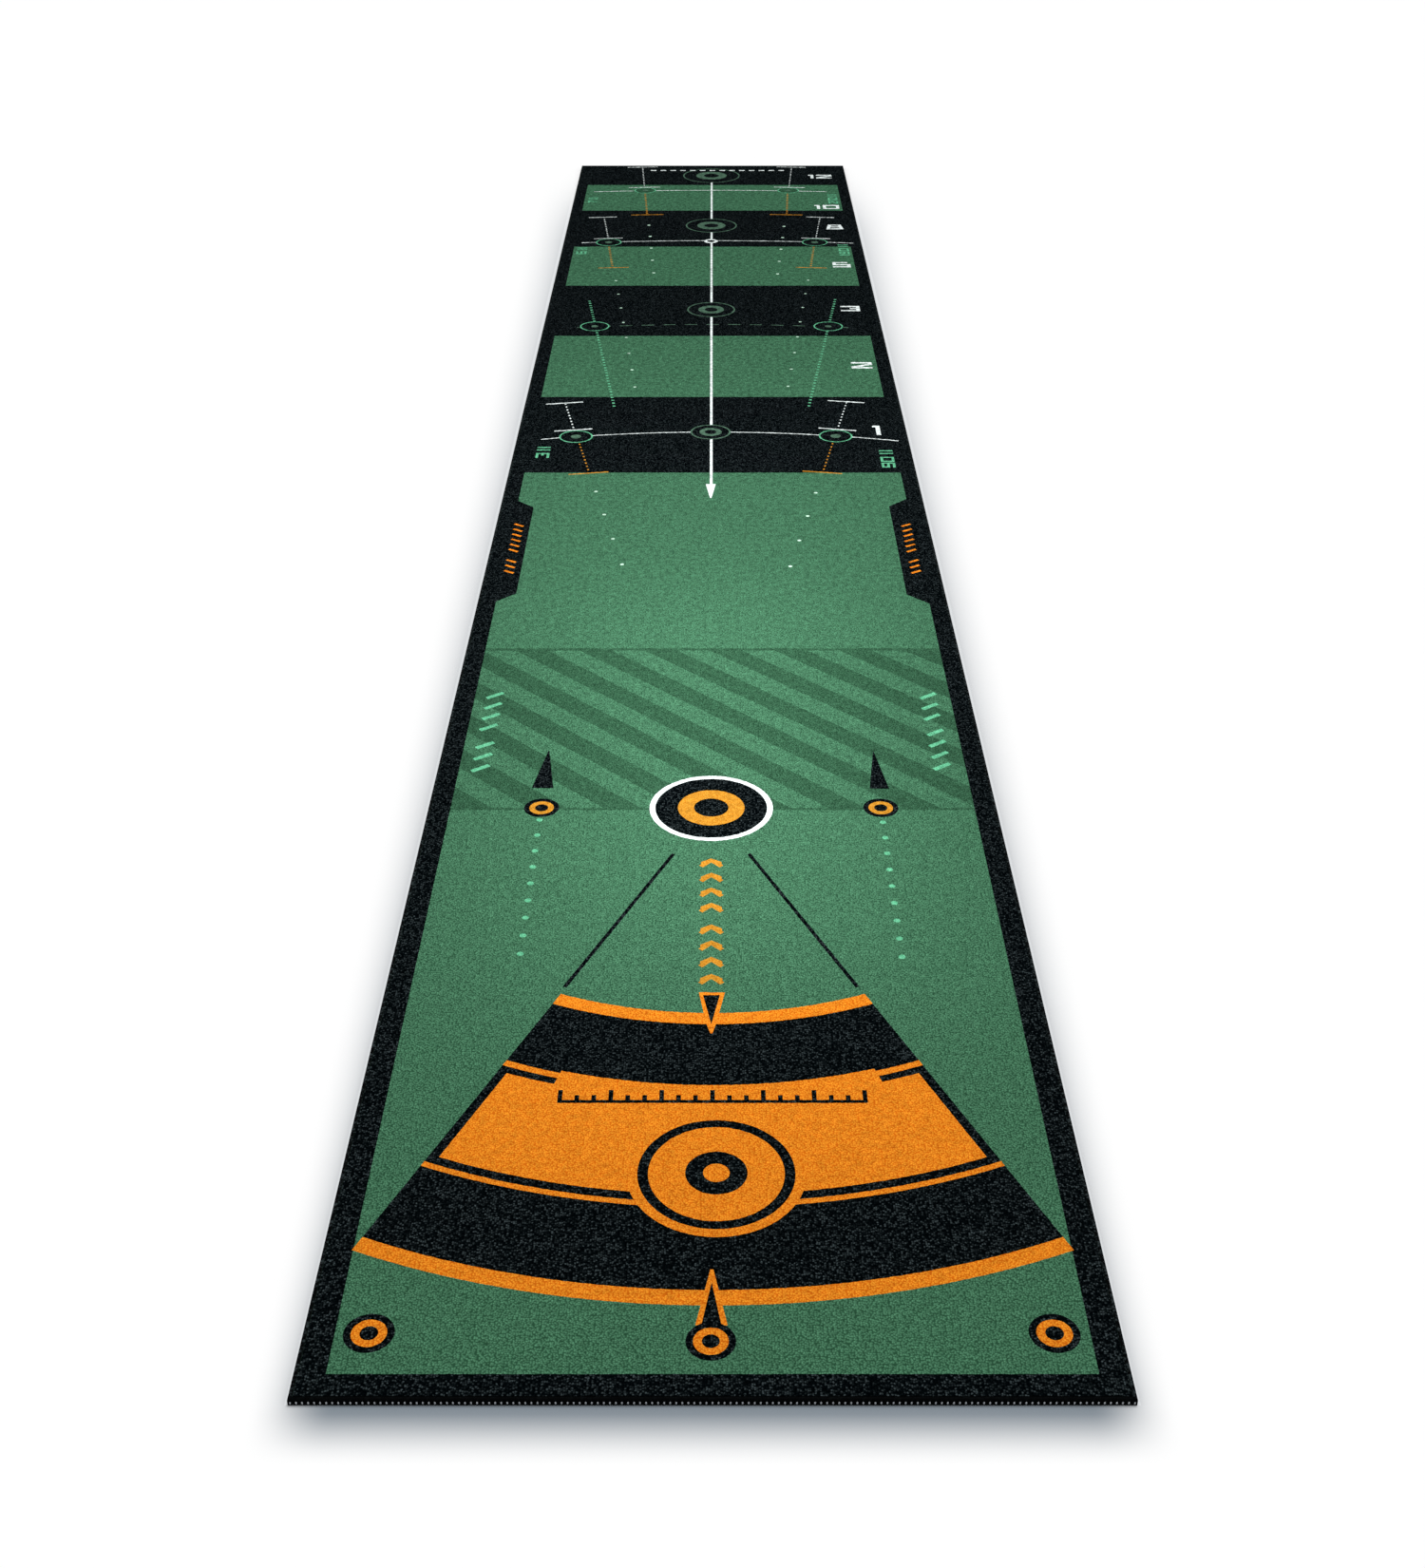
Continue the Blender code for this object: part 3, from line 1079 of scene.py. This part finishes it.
def build_stitches(side, turns):
    """The sewn row: one thread that stands proud at each stitch and dives into the tape in between."""
    along, place = side_frame(turns)
    runs, pitch = stitch_runs(along)
    corners = 8
    sunk = TAPE_FACE + 0.0007
    proud = TAPE_FACE + 0.0002
    thin_height = 0.00025
    thin_depth = 0.0002
    full_depth = 0.00038
    stations = []

    def section(run, swell):
        """Outline of the thread: swell is 0 where it is sunk and 1 in the middle of a stitch."""
        height = thin_height + (STITCH_HEIGHT / 2 - thin_height) * swell
        depth = thin_depth + (full_depth - thin_depth) * swell
        centre = sunk + (proud - sunk) * swell
        outline = []
        for i in range(corners):
            angle = 2 * math.pi * i / corners
            inset = centre - depth * math.cos(angle)
            outline.append(place(inset, run, STITCH_Z + height * math.sin(angle)))
        return outline

    for run in runs:
        stations.append(section(max(run - pitch * 0.5, STITCH_MARGIN - along / 2), 0.0))
        for share in (-1.0, -0.82, -0.45, 0.0, 0.45, 0.82, 1.0):
            swell = math.sqrt(max(0.0, 1 - share * share))
            stations.append(section(run + share * pitch * 0.2, swell))
    stations.append(section(along / 2 - STITCH_MARGIN, 0.0))
    return loft(f"{side}_stitches", stations, 60.0)


def build_rubber():
    """Rubber sheet with fine ribs along its underside, thinned where the tape folds below it."""
    edge_x = rubber_high.x
    pad_x = cad_high.x - PILE_EDGE
    edge_y = rubber_high.y
    pad_y = cad_high.y - PILE_EDGE
    margin = TAPE_FLANGE + CLEARANCE
    top = rubber_high.z
    ribs = round(2 * pad_x / RIB_PITCH)
    pitch = 2 * pad_x / ribs
    xs = []
    zs = []
    for i in range(ribs):
        start = -pad_x + i * pitch
        xs += [start + pitch * share for share in (0.12, 0.25, 0.75, 0.88)]
        zs += [RIB_DEPTH, 0.0, 0.0, RIB_DEPTH]
    ribbed = [(-edge_x, top), (-edge_x, margin), (-pad_x, margin), *zip(xs, zs)]
    ribbed += [(pad_x, margin), (edge_x, margin), (edge_x, top)]
    flat = [(x, max(z, margin)) for x, z in ribbed]
    sections = (
        (edge_y, flat),
        (pad_y, flat),
        (pad_y, ribbed),
        (-pad_y, ribbed),
        (-pad_y, flat),
        (-edge_y, flat),
    )
    stations = [[(x, y, z) for x, z in section] for y, section in sections]
    return loft("ribbed_rubber_sheet", stations, 30.0)


def build_ground():
    """The ground fabric that the tufts stand on, one piece over the whole mat."""
    rows = 300
    columns = 50
    levels = (pile_low.z, GROUND_TOP)
    points = []
    for z in levels:
        for j in range(rows + 1):
            for i in range(columns + 1):
                x = pile_low.x + (pile_high.x - pile_low.x) * i / columns
                y = pile_low.y + (pile_high.y - pile_low.y) * j / rows
                points.append((x, y, z))
    layer = (rows + 1) * (columns + 1)
    across = columns + 1
    faces = []
    for j in range(rows):
        for i in range(columns):
            a = j * across + i
            faces.append((a, a + across, a + across + 1, a + 1))
            faces.append((layer + a, layer + a + 1, layer + a + across + 1, layer + a + across))
    rim = list(range(across))
    rim += [j * across + columns for j in range(1, rows + 1)]
    rim += [rows * across + i for i in range(columns - 1, -1, -1)]
    rim += [j * across for j in range(rows - 1, 0, -1)]
    for here, there in zip(rim, rim[1:] + rim[:1]):
        faces.append((here, there, layer + there, layer + here))
    return add_mesh("pile_ground_fabric", points, faces)


def ground_material():
    nodes = Nodes("ground_fabric")
    yarn = nodes.noise(500.0, detail=2.0)
    color = nodes.mix(nodes.ramp(yarn, 0.3, 0.7), (0.010, 0.022, 0.016), (0.030, 0.055, 0.040))
    roughness = nodes.ramp(yarn, 0.3, 0.7, 0.9, 1.0)
    return nodes.finish(color, roughness, nodes.bump(yarn, 0.0003, 0.6), Specular_IOR_Level=0.02)


# ---- stage


def build_floor():
    """Plain pale floor, with a painted shadow round the mat, darker on the player's side.

    The painted shadow beside the mat widens towards the far end. A thin painted lighter line runs next to
    each side, and the floor is painted lighter just in front of the near edge.
    """
    radius = 80.0
    corners = 96
    # Clear floor, the painted shadow round the mat, and the paler colour that the painted shadow turns to
    # right at the mat's edge
    clear = (0.97, 0.97, 0.97)
    shadow = (0.165, 0.205, 0.245)
    pale = (0.60, 0.66, 0.70)
    rim = [(*polar((0.0, 0.0), radius, -360.0 * i / corners), 0.0) for i in range(corners)]
    floor = add_mesh("floor", rim, [tuple(range(corners))])
    nodes = Nodes("floor")
    split = nodes.node("ShaderNodeSeparateXYZ", Vector=nodes.coords)
    x = split.outputs["X"]
    y = split.outputs["Y"]
    # Painted shadow: smooth ramps out from each side (widening towards the far end), in front of the near
    # edge and before the far edge, multiplied together
    spread = nodes.ramp(y, cad_low.y, cad_high.y, 0.0263, 0.0855)
    outside = nodes.maths("SUBTRACT", nodes.maths("ABSOLUTE", x), cad_high.x)
    share = nodes.maths("DIVIDE", outside, spread)
    sideways = nodes.maths("SUBTRACT", 0.46, nodes.maths("MULTIPLY", share, 0.5))
    near = nodes.ramp(y, NEAR_EDGE - 0.0448, NEAR_EDGE + 0.0044)
    far = nodes.ramp(y, NEAR_EDGE + 2.47, NEAR_EDGE + 2.99, 1.0, 0.0)
    shade = None
    for value in (sideways, near, far):
        smooth = nodes.node("ShaderNodeMapRange", {"interpolation_type": "SMOOTHSTEP"}, Value=value)
        part = smooth.outputs["Result"]
        shade = part if shade is None else nodes.maths("MULTIPLY", shade, part)
    # Painted lightening of the painted shadow: just in front of the near edge, and in a thin line beside
    # each side past the near corner
    in_front = nodes.ramp(y, NEAR_EDGE - 0.006, NEAR_EDGE, 0.0, 0.17)
    line = nodes.ramp(share, 0.060, 0.090, 1.0, 0.0)
    past_corner = nodes.ramp(y, NEAR_EDGE, NEAR_EDGE + 0.001)
    painted_lightening = nodes.maths("MAXIMUM", in_front, nodes.maths("MULTIPLY", line, past_corner))
    color = nodes.mix(shade, clear, nodes.mix(painted_lightening, shadow, pale))
    floor.data.materials.append(nodes.finish(color, 0.9, Specular_IOR_Level=0.0))


def add_light(name, kind, energy, location, aim, **settings):
    data = bpy.data.lights.new(name, kind)
    data.energy = energy
    for key, value in settings.items():
        setattr(data, key, value)
    light = bpy.data.objects.new(name, data)
    light.location = location
    light.rotation_euler = (Vector(aim) - Vector(location)).to_track_quat("-Z", "Y").to_euler()
    light.visible_camera = False
    bpy.context.scene.collection.objects.link(light)
    return light


def build_lights(lit):
    """White surroundings, a soft key from above, and two low lamps for the pieces in lit alone."""
    scene = bpy.context.scene
    world = bpy.data.worlds.new("white_studio")
    world.use_nodes = True
    background = world.node_tree.nodes["Background"]
    background.inputs["Color"].default_value = (1.0, 1.0, 1.0, 1.0)
    background.inputs["Strength"].default_value = 0.62
    scene.world = world
    add_light("key", "SUN", 1.36, (0.5, 0.6, 3.0), (0.0, 0.0, 0.0), angle=math.radians(25))
    strips = (
        ("target_strip", 1.10, 0.755, 0.202, 0.290, 0.700),
        ("middle_lamp", 2.16, 1.371, 0.644, 0.087, 0.050),
    )
    for name, power, run, height, width, length in strips:
        y = NEAR_EDGE + run
        sizes = {"shape": "RECTANGLE", "size": width, "size_y": length}
        lamp = add_light(name, "AREA", power, (0.0, y, height), (0.0, y, 0.0), **sizes)
        lamp.light_linking.receiver_collection = lit
    scene.view_settings.view_transform = "Standard"
    scene.view_settings.look = "None"


def build_camera():
    """The photograph's viewpoint: from above the tee end, looking along the mat."""
    data = bpy.data.cameras.new("camera")
    data.lens = 44.506
    data.sensor_width = 36.0
    back = 0.788564
    above = 0.894514
    tilt_down = 30.983
    camera = bpy.data.objects.new("camera", data)
    camera.location = (0.0, NEAR_EDGE - back, cad_high.z + above)
    camera.rotation_euler = (math.radians(90 - tilt_down), 0.0, 0.0)
    bpy.context.scene.collection.objects.link(camera)
    bpy.context.scene.camera = camera


# ---- assembly


def dress(piece, material, slot, node):
    """Gives a piece its material and puts it in place of a CAD node. The slot is not used."""
    bpy.data.collections["mat"].objects.link(piece)
    piece.data.materials.append(material)
    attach(piece, BODY)
    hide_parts(node)


def main():
    random = np.random.default_rng(11)
    build_camera()
    build_floor()
    build_lights(bpy.data.collections.new("mat"))

    pile_materials = {dye: pile_material(dye) for dye in DYES_AND_PAINTED_LIGHT}
    ground = build_ground()
    dress(ground, ground_material(), "pile_green", "printed_pile")
    areas = build_pile(random)
    for name, piece in areas.items():
        dye = name.rsplit("_", 1)[1]
        dress(piece, pile_materials[dye], SLOTS[dye], "printed_pile")

    clean = tape_material("edge_tape", lint=0.003)
    linty = tape_material("edge_tape_linty", lint=0.040)
    thread = thread_material()
    edges = []
    for side, turns in SIDES.items():
        folded = build_tape(side, turns)
        dress(folded, clean if side == "front" else linty, "edge_tape", f"{side}_edge_binding")
        stitches = build_stitches(side, turns)
        dress(stitches, thread, "edge_thread", f"{side}_thread_row")
        edges += [folded, stitches]

    dress(build_rubber(), rubber_material(), "backing_rubber", "rubber_backing")
    for node, material in (("adhesive_coat", adhesive_material()), ("woven_scrim", scrim_material())):
        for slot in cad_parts[node].material_slots:
            slot.material = material


main()
